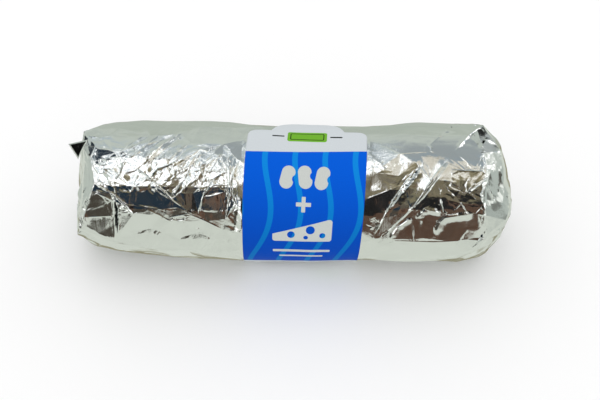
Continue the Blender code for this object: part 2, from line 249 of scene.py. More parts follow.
# Flats across the ends: a point in mm, and the way the flat faces.
END_FLATS = (
    ((-70.5, -3.9, 18.9), (-0.972, -0.14, 0.188)),
    ((-67.8, -13.4, 9.5), (-0.5, -0.711, -0.495)),
    ((-58.7, -15.4, 7.3), (-0.163, -0.755, -0.635)),
    ((-41, -16.4, 5.8), (-0.066, -0.752, -0.656)),
    ((-70.2, 9, 31.9), (-0.949, -0.02, 0.314)),
    ((-66.8, 13, 35.8), (-0.379, 0.54, 0.751)),
    ((66, 15, 35), (0.647, 0.408, 0.644)),
    ((70.1, 10.1, 30), (0.927, 0.094, 0.363)),
    ((73, 0.8, 20.7), (0.972, -0.042, 0.23)),
    ((70, -9.2, 10.7), (0.818, -0.509, -0.267)),
    ((63.3, -14.4, 5.7), (0.285, -0.744, -0.604)),
)

# Places where the foil is drawn out: a point and a shift in mm, and how far round it this reaches.
PULLS = (
    ((-66, 4.5, 40.5), (-2.4, 0.5, 1), 5),
    ((-67.5, -13, 12), (-3, -0.6, -0.2), 5),
    ((70.5, -12, 21), (4.5, -1.5, -1), 6),
    ((66, -13.5, 8), (1.5, -0.8, -0.8), 4.5),
    ((57.5, -16.8, 5), (0, -0.75, -0.75), 3.5),
)

# Zones of crumpling: x in mm, angle, half length in mm, half angle, then how strong its large, middle
# and small facets are.
ZONES = (
    (-42, 56, 26, 26, 0.8, 1.4, 1.1),
    (-56.5, 54, 5, 9, 0.5, 1.6, 1.3),
    (-23, 36, 10, 17, 0.3, 0.8, 1),
    (-51, 24, 6, 4, 0.3, 1, 1),
    (28.5, 66, 7, 8, 0.2, 0.6, 1.5),
    (45, 40, 17, 22, 0.6, 0.8, 0.6),
    (53, 47, 7, 12, 0.4, 1.4, 1.3),
    (59, 55, 9, 45, 0.8, 0.9, 0.5),
    (-70, 110, 8, 80, 0.8, 1.2, 0.9),
)
CALM = (0.45, 0.25, 0.13)
# Places that stay flat inside those zones: x in mm, angle, half length in mm, half angle.
QUIET = (
    (-58, 73, 6, 5),
    (-60.5, 27, 5, 13),
    (-42, 34, 8.5, 7.5),
    (-47.5, 59, 4, 6),
    (28, 38, 6, 7),
    (36, 66, 7, 8),
    (45.5, 57, 4, 10),
    (-27, 33, 8, 13),
    (42, 13, 20, 10),
    (41, 86, 16, 12),
)
QUIET_SHARE = 0.3
# The back begins this far round from the front's middle.
FRONT_MIDDLE, BACK_FROM_TO = 45.0, (95.0, 125.0)
BACK_LEAST, BACK_PATCHES_MORE = 0.3, 0.9

# The ends' folds: how many, their depth, their twist in turns, and how far along the side they run out.
LEFT_PLEATS, RIGHT_PLEATS = 9, 8
LEFT_PLEAT_DEPTH, RIGHT_PLEAT_DEPTH = 0.0011, 0.0006
PLEAT_DROP = 0.25
PLEAT_TWIST = 0.16
PLEAT_REACH = 0.004

# The free edge of the foil sheet along the back.
SEAM_ANGLE, SEAM_SLANT = 158, 160
SEAM_STEP, SEAM_REACH = 0.00045, 0.012

# A corner of foil that stands out of the left end: its tip, then its two base corners, in mm.
CORNER = ((-71.39, 0.29, 40.15), (-64.04, -2.77, 44.72), (-68.55, -2.4, 36))
CORNER_ROWS, CORNER_THICKNESS = 12, 0.00008
CORNER_FOLD, CORNER_CRUMPLE = 0.0005, 0.00005


def ease(low, high, value):
    """0 below low, 1 above high, and a smooth ramp between."""
    t = np.clip((value - low) / (high - low), 0.0, 1.0)
    return t * t * (3.0 - 2.0 * t)


def turn(angle):
    """An angle in degrees brought to -180 to 180."""
    return (angle + 180.0) % 360.0 - 180.0


def outward(angle):
    """Unit vectors out of the roll's axis."""
    a = np.radians(angle)
    return np.stack((np.zeros_like(a), -np.cos(a), np.sin(a)), axis=-1)


def arc_of(angle):
    """The length of an angle on the roll's side."""
    return np.radians(angle) * RADIUS


# --- The plain roll ---
def station(x):
    """(radius, lift) at x, eased between the stations."""
    x = np.clip(x, STATIONS[0, 0], STATIONS[-1, 0])
    k = np.clip(np.searchsorted(STATIONS[:, 0], x) - 1, 0, len(STATIONS) - 2)
    low, high = STATIONS[k], STATIONS[k + 1]
    t = ease(low[..., 0], high[..., 0], x)[..., None]
    mixed = low + t * (high - low)
    return mixed[..., 1], mixed[..., 2]


def settled(z, floor):
    """z kept above the floor, with a rounded edge where the roll leaves it."""
    overlap = np.maximum(SETTLE_ROUND - np.abs(z - floor), 0.0) / SETTLE_ROUND
    return np.maximum(z, floor) + 0.25 * overlap * overlap * SETTLE_ROUND


def roll_point(x, angle, share, depth):
    """Points of the roll, depth under its outside. share is 1 on the side, 0 in the middle of an end."""
    radius, lift = station(x)
    oval = OVAL * np.cos(np.radians(2 * angle - OVAL_ANGLE))
    lobes = LOBES * np.cos(np.radians(3 * angle + LOBES_TWIST * x))
    radius = radius * (1.0 + (oval + lobes)) - depth
    point = outward(angle) * (radius * share)[..., None] + outward(LIFT_ANGLE) * lift[..., None]
    point[..., 0] += x
    point[..., 1] += AXIS_Y
    point[..., 2] += AXIS_HEIGHT
    return point


def side_normal(x, angle):
    """Outward unit vectors of the roll's side."""
    step, turn_step = 0.0008, 2.0
    ones, no_depth = np.ones_like(x), np.zeros_like(x)
    along = roll_point(x + step, angle, ones, no_depth) - roll_point(x - step, angle, ones, no_depth)
    ahead = roll_point(x, angle + turn_step, ones, no_depth)
    behind = roll_point(x, angle - turn_step, ones, no_depth)
    normal = np.cross(along, ahead - behind)
    return normal / np.linalg.norm(normal, axis=-1, keepdims=True)


# --- The label's outline ---
def width_share(down):
    """The label's width, as a share of its full width."""
    return WIDTH_SHARE_TOP + (WIDTH_SHARE_BOTTOM - WIDTH_SHARE_TOP) * ease(NARROW_FROM, NARROW_TO, down)


def label_to_roll(across, down):
    """(x, angle) of points of the flat label, which sits a little askew."""
    across = across * width_share(down)
    x = LABEL_X + across - (down - LABEL_SKEW_CENTRE) * math.sin(LABEL_SKEW)
    arc = down + across * math.sin(LABEL_SKEW)
    return x, LABEL_TOP_ANGLE - np.degrees(arc / LABEL_RADIUS)


def roll_to_label(x, angle):
    """(across, down) on the flat label of points of the roll."""
    middle = LABEL_TOP_ANGLE - math.degrees(0.5 * LABEL_LENGTH / LABEL_RADIUS)
    down = 0.5 * LABEL_LENGTH - np.radians(turn(angle - middle)) * LABEL_RADIUS
    across = x - LABEL_X + (down - LABEL_SKEW_CENTRE) * math.sin(LABEL_SKEW)
    return across / width_share(down), down - across * math.sin(LABEL_SKEW)


def corner_drop(across):
    """What a rounded corner takes off the label's end."""
    inset = np.clip(np.abs(across) - (0.5 * LABEL_WIDTH - LABEL_CORNER), 0.0, LABEL_CORNER)
    return LABEL_CORNER - np.sqrt(LABEL_CORNER**2 - inset**2)


def label_top(across):
    """How far down the label its upper edge is: rounded corners, and the tab that stands above it."""
    share = np.minimum(np.abs(across) / TAB_HALF_WIDTH, 1.0)
    return corner_drop(across) - TAB_HEIGHT * (1.0 - share**2.4) ** 0.7


def beside_label(x, angle):
    """How far outside the label a point of the roll is; negative under it."""
    across, down = roll_to_label(x, angle)
    beside = np.abs(across) - 0.5 * LABEL_WIDTH
    return np.maximum(np.maximum(beside, label_top(0.97 * across) - down), down - LABEL_LENGTH)


# --- Lengthways: from the middle of the left end, along the side, to the middle of the right end ---
END_STEPS, SIDE_STEPS = 400, 200


def end_outline(end_x, bulge, squareness):
    """(x, share) from an end's middle out to its last station, as a rounded shoulder."""
    a = np.linspace(0.0, 0.5 * math.pi, END_STEPS)
    power = 2.0 / squareness
    return np.stack((end_x + bulge * np.cos(a) ** power, np.sin(a) ** power), axis=-1)


def lengthways():
    """The outline's (x, share), its length so far, and its spread: the length in terms of the radius."""
    left = end_outline(STATIONS[0, 0], -LEFT_BULGE, LEFT_SQUARENESS)
    right = end_outline(STATIONS[-1, 0], RIGHT_BULGE, RIGHT_SQUARENESS)
    side_x = np.linspace(STATIONS[0, 0], STATIONS[-1, 0], SIDE_STEPS)[1:-1]
    side = np.stack((side_x, np.ones_like(side_x)), axis=-1)
    outline = np.concatenate((left, side, right[::-1]))
    steps = np.linalg.norm(np.diff(outline * (1.0, RADIUS), axis=0), axis=1)
    length = np.concatenate(([0.0], np.cumsum(steps)))
    middle_share = 0.5 * (outline[1:, 1] + outline[:-1, 1])
    spread = np.concatenate(([0.0], np.cumsum(steps / (np.maximum(middle_share, 0.01) * RADIUS))))
    return outline, length, spread - 0.5 * spread[-1]


OUTLINE, LENGTH, SPREAD = lengthways()
LEFT_SHOULDER, RIGHT_SHOULDER = LENGTH[END_STEPS - 1], LENGTH[END_STEPS + SIDE_STEPS - 2]


def at_length(length):
    """(x, share) at a length along the outline."""
    return np.interp(length, LENGTH, OUTLINE[:, 0]), np.interp(length, LENGTH, OUTLINE[:, 1])


def length_at_x(x):
    """The length along the outline of a place on the roll's side."""
    return LEFT_SHOULDER + x - STATIONS[0, 0]


def to_plane(length, angle):
    """The roll's surface laid out on a plane without changing any angle, its left end in the middle."""
    reach = np.exp(np.interp(length, LENGTH, SPREAD))
    a = np.radians(angle)
    return np.stack((reach * np.cos(a), reach * np.sin(a)), axis=-1)


def from_plane(point):
    """(length, angle) of points on that plane."""
    reach = np.log(np.maximum(np.linalg.norm(point, axis=-1), 1e-9))
    return np.interp(reach, SPREAD, LENGTH), np.degrees(np.arctan2(point[..., 1], point[..., 0]))


# --- The foil's larger form ---
def press(point, foot, facing, depth):
    """Points brought back onto a flat through foot, depth further in, where they stand out beyond it."""
    beyond = (point - foot) @ facing + depth
    return point - facing * np.maximum(beyond, 0.0)[:, None]


def flat_plane(x_mm, angle, aside, upwards):
    """A point of the roll's side, and the way a flat there faces."""
    foot = roll_point(np.array([x_mm * MM]), np.array([float(angle)]), np.ones(1), np.zeros(1))[0]
    facing = outward(float(angle + upwards)) * math.cos(math.radians(aside))
    facing[0] = math.sin(math.radians(aside))
    return foot, facing


def pressed(point):
    """Points brought back onto the flats, drawn out at the pulls, then kept inside the end flats."""
    up_side = np.arctan2(point[:, 2] - AXIS_HEIGHT, AXIS_Y - point[:, 1]) * RADIUS
    for x_mm, angle, depth_mm, aside, upwards, half_length_mm, lean in FLATS:
        middle = x_mm * MM + lean * (up_side - arc_of(angle))
        away = np.abs(point[:, 0] - middle) / (half_length_mm * MM)
        depth = depth_mm * MM - FLAT_RISE * ease(FLAT_SHARE, 2.0 - FLAT_SHARE, away)
        point = press(point, *flat_plane(x_mm, angle, aside, upwards), depth)
    for x_mm, angle, depth_mm, aside in BEVELS:
        point = press(point, *flat_plane(x_mm, angle, aside, 0.0), depth_mm * MM)
    for middle_mm, shift_mm, reach_mm in PULLS:
        away = np.linalg.norm(point - np.array(middle_mm) * MM, axis=1) / (reach_mm * MM)
        point = point + np.exp(-away * away)[:, None] * np.array(shift_mm) * MM
    for foot_mm, facing in END_FLATS:
        facing = np.array(facing) / np.linalg.norm(facing)
        point = press(point, np.array(foot_mm) * MM, facing, 0.0)
    return point


def foil_base(length, angle):
    """(points, outward normals) of the foil before its crumples, and how free it is to crumple."""
    x, share = at_length(length)
    beside = beside_label(x, angle)
    depth = FOIL_UNDER_PAPER * (1.0 - ease(0.0, 0.0010, beside))
    point = roll_point(x, angle, share, depth)
    clear = ease(0.0, 0.0030, beside)[:, None]
    point = point + clear * (pressed(point) - point)
    point[:, 2] = settled(point[:, 2], PAPER_THICKNESS * (1.0 - ease(0.0, 0.0020, beside)))
    side = ease(0.55, 1.0, share)[:, None]
    facing = np.zeros_like(point)
    facing[:, 0] = np.sign(x)
    normal = side * side_normal(x, angle) + (1.0 - side) * facing
    normal /= np.linalg.norm(normal, axis=-1, keepdims=True)
    free = ease(-0.0002, 0.0016, beside) * ease(0.0002, 0.0026, point[:, 2])
    return point, normal, free


def nearness(x, angle, zone):
    """1 in the middle of a zone, 0 well outside it."""
    x_mm, middle, half_length_mm, half_angle = zone[:4]
    away = ((x - x_mm * MM) / (half_length_mm * MM)) ** 2 + (turn(angle - middle) / half_angle) ** 2
    return np.exp(-away * away)


def crumple(x, angle, scale):
    """How strong the facets of one scale are: 0 large, 1 middle, 2 small."""
    strength = np.full_like(x, CALM[scale])
    for zone in ZONES:
        strength = np.maximum(strength, zone[4 + scale] * nearness(x, angle, zone))
    # On the back, strong and calm patches take turns.
    patches = 0.5 + 0.5 * np.sin(95.0 * x + 1.3 + 0.045 * angle) * np.cos(np.radians(3.0 * angle) + 60.0 * x)
    behind = ease(*BACK_FROM_TO, np.abs(turn(angle - FRONT_MIDDLE)))
    strength = np.maximum(strength, behind * (BACK_LEAST + BACK_PATCHES_MORE * patches))
    for zone in QUIET:
        strength = strength * (1.0 - (1.0 - QUIET_SHARE) * nearness(x, angle, zone))
    return strength


# --- Creases, pleats and the seam ---
def between(a, b, t):
    return tuple(v + t * (w - v) for v, w in zip(a, b))


def fanned(rng):
    """The fans' folds, as creases."""
    creases = []
    for first_start, last_start, first_end, last_end, count, stand_out, ridge in FANS:
        for i in range(count):
            t, u = (i + rng.uniform(-0.3, 0.3, 2)) / (count - 1)
            start, end = between(first_start, last_start, t), between(first_end, last_end, u)
            shares = rng.uniform(-0.15, 0.2), rng.uniform(0.8, 1.15)
            ends = tuple(between(start, end, share) for share in shares)
            out_or_in = stand_out * rng.uniform(0.5, 1.2) * (-1.0) ** i
            creases.append((ends, out_or_in, ridge * rng.uniform(0.2, 1.4), *FAN_REACHES))
    return creases


def crease_lines(creases):
    """The creases as straight pieces: both ends' (x, arc), height, reaches, and share of the crease."""
    pieces = []
    for corners, _, height, left_reach, right_reach in creases:
        line = [(x * MM, math.radians(angle) * RADIUS) for x, angle in corners]
        lengths = [math.dist(a, b) for a, b in zip(line, line[1:])]
        so_far = 0.0
        for a, b, length in zip(line, line[1:], lengths):
            shares = (so_far / sum(lengths), (so_far + length) / sum(lengths))
            pieces.append((a, b, height * MM, (left_reach * MM, right_reach * MM), shares))
            so_far += length
    return pieces


def pinches(length, angle, triangles, chance_and_height, rng):
    """Short creases along some of the facets' edges."""
    chance, height = chance_and_height
    x = at_length(length)[0]
    pieces = []
    for a, b in facet_edges(triangles):
        middle = 0.5 * (x[a] + x[b])
        here = crumple(np.array([middle]), np.array([angle[a]]), 1)[0]
        drawn = rng.random()
        size = rng.uniform(-0.6, 1.0) * height * MM
        if drawn < chance * here and abs(angle[b] - angle[a]) < 90.0:
            ends = [(x[k], math.radians(angle[k]) * RADIUS) for k in (a, b)]
            pieces.append((*ends, size, (PINCH_REACH * MM, PINCH_REACH * MM), (0.0, 1.0)))
    return pieces


def drawn_in(gap):
    """A distance from a crease, after the foil is drawn towards it."""
    return gap * (0.45 + 0.55 * ease(0.25, 1.0, gap / DRAWN_FROM))


def crease_field(x, angle, pieces):
    """The creases' height at each point, and how far the point is drawn towards them, as (x, arc)."""
    arc = arc_of(turn(angle))
    height, shift = np.zeros_like(x), np.zeros((len(x), 2))
    nearest = np.full_like(x, DRAWN_FROM)
    for a, b, size, reaches, shares in pieces:
        a, b = np.array(a), np.array(b)
        reach = max(*reaches, DRAWN_FROM)
        low, high = np.minimum(a, b) - reach, np.maximum(a, b) + reach
        near = np.nonzero((x > low[0]) & (x < high[0]) & (arc > low[1]) & (arc < high[1]))[0]
        span = np.linalg.norm(b - a)
        ahead = (b - a) / span
        offset = np.stack((x[near], arc[near]), axis=-1) - a
        run = np.clip(offset @ ahead, 0.0, span)
        off = offset - run[:, None] * ahead
        gap = np.linalg.norm(off, axis=1)
        drawn = drawn_in(gap)
        side = off[:, 0] * ahead[1] - off[:, 1] * ahead[0]
        done = shares[0] + run / span * (shares[1] - shares[0])
        ends = ease(0.0, 0.2, done) * (1.0 - ease(0.8, 1.0, done))
        here = size * ends * np.maximum(0.0, 1.0 - drawn / np.where(side > 0.0, reaches[1], reaches[0]))
        height[near] = np.where(np.abs(here) > np.abs(height[near]), here, height[near])
        closer = gap < nearest[near]
        nearest[near[closer]] = gap[closer]
        pull = (drawn - gap) / np.maximum(gap, 1e-9)
        shift[near[closer]] = off[closer] * pull[closer, None]
    return height, shift


def pleat_height(length, angle, share):
    """Folds that gather the foil into the middle of each end: each rises slowly and drops quickly."""
    left = length < 0.5 * LENGTH[-1]
    count = np.where(left, LEFT_PLEATS, RIGHT_PLEATS)
    hand = np.where(left, 1.0, -1.0)
    turns = angle / 360.0 * count + hand * PLEAT_TWIST * count * (1.0 - share)
    turns = turns + 0.28 * np.sin(np.radians(angle + 40.0 * hand)) + 0.2 * np.sin(np.radians(3.0 * angle))
    wave = turns % 1.0
    profile = np.minimum(wave / (1.0 - PLEAT_DROP), (1.0 - wave) / PLEAT_DROP)
    along_side = np.where(left, length - LEFT_SHOULDER, RIGHT_SHOULDER - length)
    strength = ease(0.02, 0.45, share) * (1.0 - 0.5 * ease(0.75, 1.0, share))
    strength = strength * (1.0 - ease(0.0, PLEAT_REACH, along_side))
    return np.where(left, LEFT_PLEAT_DEPTH, RIGHT_PLEAT_DEPTH) * strength * (profile - 0.5)


def seam_height(x, angle):
    """The free edge of the foil sheet along the back, at a slight slant."""
    side = arc_of(turn(SEAM_ANGLE + SEAM_SLANT * x + 1.5 * np.sin(170.0 * x) - angle))
    slope = np.where(side < 0.0, 1.0 + side / 0.0004, 1.0 - side / SEAM_REACH)
    return SEAM_STEP * np.maximum(slope, 0.0)


# --- The foil's mesh ---
def facet_sides(triangles):
    """Each triangle's sides, as pairs of corners: all first sides, then all second, then all third."""
    return np.concatenate([triangles[:, [0, 1]], triangles[:, [1, 2]], triangles[:, [2, 0]]])


def facet_edges(triangles):
    """Each edge of the triangles once, as a pair of corners."""
    return np.unique(np.sort(facet_sides(triangles), axis=1), axis=0)


def crease_corners(creases):
    """(length, angle, height) of points along the creases, and the pairs that a crease joins."""
    points, joined = [], []
    for corners, stand_out, *_ in creases:
        for (x0, angle0), (x1, angle1) in zip(corners, corners[1:]):
            span = math.hypot((x1 - x0) * MM, math.radians(angle1 - angle0) * RADIUS)
            count = max(1, round(span / (0.8 * FACET_SPACING)))
            for i in range(count + 1):
                t = i / count
                x = (x0 + t * (x1 - x0)) * MM
                points.append((length_at_x(x), angle0 + t * (angle1 - angle0), stand_out * MM))
                if i:
                    joined.append((len(points) - 2, len(points) - 1))
    return points, joined


LAST_RING, LAST_RING_CORNERS = 0.0028, 7
TRIES = 14000


def scattered_corners(rng, points):
    """More points, scattered over the rest of the roll at the facets' spacing."""
    kept = list(points)
    kept += [(LENGTH[-1] - LAST_RING, 360.0 * k / LAST_RING_CORNERS, 0.0) for k in range(LAST_RING_CORNERS)]
    kept.append((0.0, 0.0, 0.0))
    where = np.array(kept)
    places = foil_base(where[:, 0], where[:, 1])[0]
    length = rng.uniform(0.0, LENGTH[-1] - 2.0 * LAST_RING, TRIES)
    angle = rng.uniform(-180.0, 180.0, TRIES)
    chosen = rng.random(TRIES) < at_length(length)[1]
    length, angle = length[chosen], angle[chosen]
    tried = foil_base(length, angle)[0]
    for k in range(len(length)):
        if np.min(np.linalg.norm(places - tried[k], axis=1)) > FACET_SPACING:
            places = np.concatenate((places, tried[k : k + 1]))
            x, _ = at_length(length[k : k + 1])
            height = rng.uniform(-1.0, 1.0) * crumple(x, angle[k : k + 1], 0)[0] * LARGE_HEIGHT_MM * MM
            kept.append((length[k], angle[k], height))
    return np.array(kept)


def large_facets(creases, rng):
    """The largest facets: (length, angle, height) of their corners, and each triangle's three corners."""
    points, joined = crease_corners(creases)
    corners = scattered_corners(rng, points)
    laid_out = to_plane(corners[:, 0], corners[:, 1])
    made = delaunay_2d_cdt([Vector(p) for p in laid_out], joined, [], 0, 1e-7, True)
    length, angle = from_plane(np.array([tuple(v) for v in made[0]]))
    # A corner where two creases cross is new, so it has no height of its own.
    height = np.array([corners[came_from[0], 2] if came_from else 0.0 for came_from in made[3]])
    triangles = np.array([tuple(face) for face in made[2]])
    # The right end's middle is nowhere on the plane, so the last ring is closed onto one more corner.
    sides = facet_sides(triangles)
    known = {tuple(side) for side in sides}
    closing = [(b, a, len(length)) for a, b in sides if (b, a) not in known]
    length, angle, height = np.append(length, LENGTH[-1]), np.append(angle, 0.0), np.append(height, 0.0)
    return length, angle, height, np.concatenate([triangles, closing])


def split_facets(state, triangles, split, spacing, rng):
    """Every facet split in four, its new corners moved in or out, less so on edges below the spacing."""
    length, angle, base, offset = state
    height, busy, flatness, play, scale = split
    edges, which = np.unique(np.sort(facet_sides(triangles), axis=1), axis=0, return_inverse=True)
    ab, bc, ca = which.reshape(3, -1) + len(length)
    a, b = edges.T
    t = rng.uniform(0.5 - play, 0.5 + play, len(edges))
    share = at_length(length)[1]
    angle_a = np.where(share[a] < 0.02, angle[b], angle[a])
    angle_b = np.where(share[b] < 0.02, angle[a], angle[b])
    new_angle = turn(angle_a + t * turn(angle_b - angle_a))
    new_length = length[a] + t * (length[b] - length[a])
    new_base, normal, _ = foil_base(new_length, new_angle)
    t = t[:, None]
    bulge = new_base - (base[a] + t * (base[b] - base[a]))
    moved = rng.uniform(-1.0, 1.0, len(edges)) * (rng.random(len(edges)) < busy)
    moved = moved * crumple(at_length(new_length)[0], new_angle, scale) * height * MM
    moved = moved * np.minimum(np.linalg.norm(base[b] - base[a], axis=1) / spacing, 1.0)
    new_offset = offset[a] + t * (offset[b] - offset[a]) - flatness * bulge + normal * moved[:, None]
    i, j, k = triangles.T
    quarters = ((i, ab, ca), (ab, j, bc), (ca, bc, k), (ab, bc, ca))
    state = (
        np.append(length, new_length),
        np.append(angle, new_angle),
        np.concatenate([base, new_base]),
        np.concatenate([offset, new_offset]),
    )
    return state, np.concatenate([np.stack(quarter, axis=-1) for quarter in quarters])


def without_last_split(triangles, edges, flat):
    """The last split undone on edges with both ends where the foil is flat, and the corners still used."""
    corners = np.arange(len(flat))
    whole = flat[edges].all(axis=1)
    corners[len(flat) - len(edges) :][whole] = edges[whole, 0]
    triangles = corners[triangles]
    a, b, c = triangles.T
    used, triangles = np.unique(triangles[(a != b) & (b != c) & (c != a)], return_inverse=True)
    return used, triangles.reshape(-1, 3)


def foil_surface():
    """The crumpled foil: its points, its triangles, and each point's (length, angle)."""
    rng = np.random.default_rng(SEED)
    creases = list(CREASES) + fanned(rng)
    nicks = [((start, end), 0.0, height, PINCH_REACH, PINCH_REACH) for start, end, height in NICKS]
    length, angle, height, triangles = large_facets(creases, rng)
    pieces = crease_lines(creases + nicks) + pinches(length, angle, triangles, LONG_PINCHES, rng)
    base, normal, _ = foil_base(length, angle)
    state = (length, angle, base, normal * height[:, None])
    for level, split in enumerate(SPLITS):
        edges = facet_edges(triangles)
        state, triangles = split_facets(state, triangles, split, FACET_SPACING / 2**level, rng)
        if level == 0:
            pieces += pinches(state[0], state[1], triangles, SHORT_PINCHES, rng)
    length, angle, _, offset = state
    x, share = at_length(length)
    height, shift = crease_field(x, angle, pieces)
    on_side = ease(0.9, 1.0, share)
    length = length + shift[:, 0] * on_side
    angle = angle + np.degrees(shift[:, 1] * on_side / RADIUS)
    base, normal, free = foil_base(length, angle)
    x, share = at_length(length)
    height = (height + seam_height(x, angle)) * ease(0.6, 1.0, share) + pleat_height(length, angle, share)
    point = base + (offset + normal * height[:, None]) * free[:, None]
    point[:, 2] = np.maximum(point[:, 2], 0.00002)
    used, triangles = without_last_split(triangles, edges, free == 0.0)
    return point[used], triangles[:, ::-1], length[used], angle[used]


def new_piece(name, points, faces):
    """A mesh object from arrays of points and of faces that all have the same number of corners."""
    mesh = bpy.data.meshes.new(name)
    mesh.vertices.add(len(points))
    mesh.vertices.foreach_set("co", np.asarray(points, np.float32).ravel())
    corners = np.asarray(faces, np.int32)
    mesh.loops.add(corners.size)
    mesh.loops.foreach_set("vertex_index", corners.ravel())
    mesh.polygons.add(len(corners))
    starts = np.arange(len(corners), dtype=np.int32) * corners.shape[1]
    mesh.polygons.foreach_set("loop_start", starts)
    mesh.update(calc_edges=True)
    mesh.validate()
    piece = bpy.data.objects.new(name, mesh)
    bpy.context.scene.collection.objects.link(piece)
    return piece


def add_flat_map(piece, name, faces, across_mm, down_mm):
    """A UV map that lays the piece's sheet out flat, in millimetres."""
    layer = piece.data.uv_layers.new(name=name)
    flat = np.stack((across_mm, down_mm), axis=-1).reshape(-1, 2)
    layer.data.foreach_set("uv", flat.astype(np.float32).ravel())


def make_foil():
    points, triangles, length, angle = foil_surface()
    piece = new_piece("crumpled_foil", points, triangles)
    around = arc_of(angle[triangles[:, :1]] + turn(angle[triangles] - angle[triangles[:, :1]]))
    add_flat_map(piece, "sheet", triangles, length[triangles] / MM, around / MM)
    piece.data.shade_smooth()
    piece.data.set_sharp_from_angle(angle=math.radians(SHARP_ANGLE))
    return piece


def make_corner():
    """The small crumpled triangle of foil that stands out of the left end."""
    rng = np.random.default_rng(SEED)
    tip, left, right = np.array(CORNER) * MM
    facing = np.cross(left - tip, right - tip)
    facing /= np.linalg.norm(facing)
    points, faces = [], []
    for i in range(CORNER_ROWS + 1):
        down = i / CORNER_ROWS
        for j in range(i + 1):
            across = j / max(i, 1)
            fold = CORNER_FOLD * down * abs(across - 0.45 - 0.2 * down)
            moved = facing * (fold + rng.uniform(-CORNER_CRUMPLE, CORNER_CRUMPLE))
            points.append(tip + down * ((1.0 - across) * (left - tip) + across * (right - tip)) + moved)
    for i in range(CORNER_ROWS):
        above, below = i * (i + 1) // 2, (i + 1) * (i + 2) // 2
        faces += [(above + j, below + j, below + j + 1) for j in range(i + 1)]
        faces += [(above + j, below + j + 1, above + j + 1) for j in range(i)]
    piece = new_piece("foil_corners", points, faces)
    flat = np.array(points)[np.array(faces)] / MM
    add_flat_map(piece, "sheet", faces, flat[..., 0], flat[..., 2])
    shell = piece.modifiers.new("sheet", "SOLIDIFY")
    shell.thickness = CORNER_THICKNESS
    shell.offset = 0.0
    return piece


# --- The label ---
LABEL_COLUMNS, LABEL_ROWS = 78, 220
PAPER_DENTS = 0.00003


def make_label():
    across = np.linspace(-0.5, 0.5, LABEL_COLUMNS + 1) * LABEL_WIDTH
    t = np.linspace(0.0, 1.0, LABEL_ROWS + 1)[:, None]
    top, bottom = label_top(across), LABEL_LENGTH - corner_drop(across)
    down = (top + t * (bottom - top)).ravel()
    across = np.tile(across, LABEL_ROWS + 1)
    x, angle = label_to_roll(across, down)
    dents = PAPER_DENTS * np.sin(420.0 * x + 2.0 * np.sin(np.radians(4.0 * angle)))
    dents = dents * (1.0 + np.sin(np.radians(9.0 * angle) + 300.0 * x))
    points = roll_point(x, angle, np.ones_like(x), PAPER_INSIDE_DEPTH - np.abs(dents))
    points[:, 2] = settled(points[:, 2], PAPER_THICKNESS + FOIL_UNDER_PAPER)
    columns = LABEL_COLUMNS + 1
    first = (np.arange(LABEL_ROWS)[:, None] * columns + np.arange(LABEL_COLUMNS)).ravel()
    faces = np.stack((first, first + columns, first + columns + 1, first + 1), axis=-1)
    piece = new_piece("wrap_label", points, faces)
    add_flat_map(piece, "print", faces, across[faces] / MM, down[faces] / MM)
    piece.data.shade_smooth()
    shell = piece.modifiers.new("paper", "SOLIDIFY")
    shell.thickness = PAPER_THICKNESS
    shell.offset = 1.0
    return piece


# --- Shader nodes ---
class Nodes:
    """Short ways to add nodes to one tree. A value is a number, a tuple or another node's output."""

    def __init__(self, tree):
        self.tree = tree

    def new(self, kind, **settings):
        node = self.tree.nodes.new("ShaderNode" + kind)
        for name, value in settings.items():
            setattr(node, name, value)
        return node

    def put(self, value, socket):
        if isinstance(value, bpy.types.NodeSocket):
            self.tree.links.new(value, socket)
        else:
            socket.default_value = value

    def math(self, operation, *values):
        node = self.new("Math", operation=operation)
        for value, socket in zip(values, node.inputs):
            self.put(value, socket)
        return node.outputs[0]

    def vector(self, operation, *values):
        node = self.new("VectorMath", operation=operation)
        for value, socket in zip(values, node.inputs):
            self.put(value, socket)
        return node.outputs["Value" if operation in ("LENGTH", "DOT_PRODUCT", "DISTANCE") else "Vector"]

    def noise(self, where, scale, detail=3.0, output=0):
        node = self.new("TexNoise")
        self.put(where, node.inputs["Vector"])
        node.inputs["Scale"].default_value = scale
        node.inputs["Detail"].default_value = detail
        return node.outputs[output]

    def parts(self, vector):
        node = self.new("SeparateXYZ")
        self.put(vector, node.inputs[0])
        return node.outputs

    def mix(self, factor, a, b):
        node = self.new("Mix", data_type="RGBA")
        for value, name in ((factor, "Factor"), (a, "A"), (b, "B")):
            self.put(rgba(value) if isinstance(value, tuple) else value, node.inputs[name])
        return node.outputs["Result"]

    def ramp(self, factor, stops):
        """A colour ramp through (place, colour) stops."""
        node = self.new("ValToRGB")
        elements = node.color_ramp.elements
        elements.remove(elements[-1])
        elements[0].position, elements[0].color = stops[0][0], rgba(stops[0][1])
        for place, colour in stops[1:]:
            elements.new(place).color = rgba(colour)
        self.put(factor, node.inputs[0])
        return node.outputs[0]

    def steps(self, low, high, value):
        """0 at low, 1 at high."""
        node = self.new("MapRange", interpolation_type="SMOOTHSTEP")
        self.put(value, node.inputs["Value"])
        node.inputs["From Min"].default_value = low
        node.inputs["From Max"].default_value = high
        return node.outputs[0]

    def bump(self, height, distance, strength):
        node = self.new("Bump")
        self.put(height, node.inputs["Height"])
        node.inputs["Distance"].default_value = distance
        node.inputs["Strength"].default_value = strength
        return node.outputs[0]


def rgba(colour):
    return (*colour, 1.0)


def new_material(name):
    made = bpy.data.materials.new(name)
    made.use_nodes = True
    return made, Nodes(made.node_tree), made.node_tree.nodes["Principled BSDF"]


# --- Materials ---
CRINKLE_SHARE = 1.5


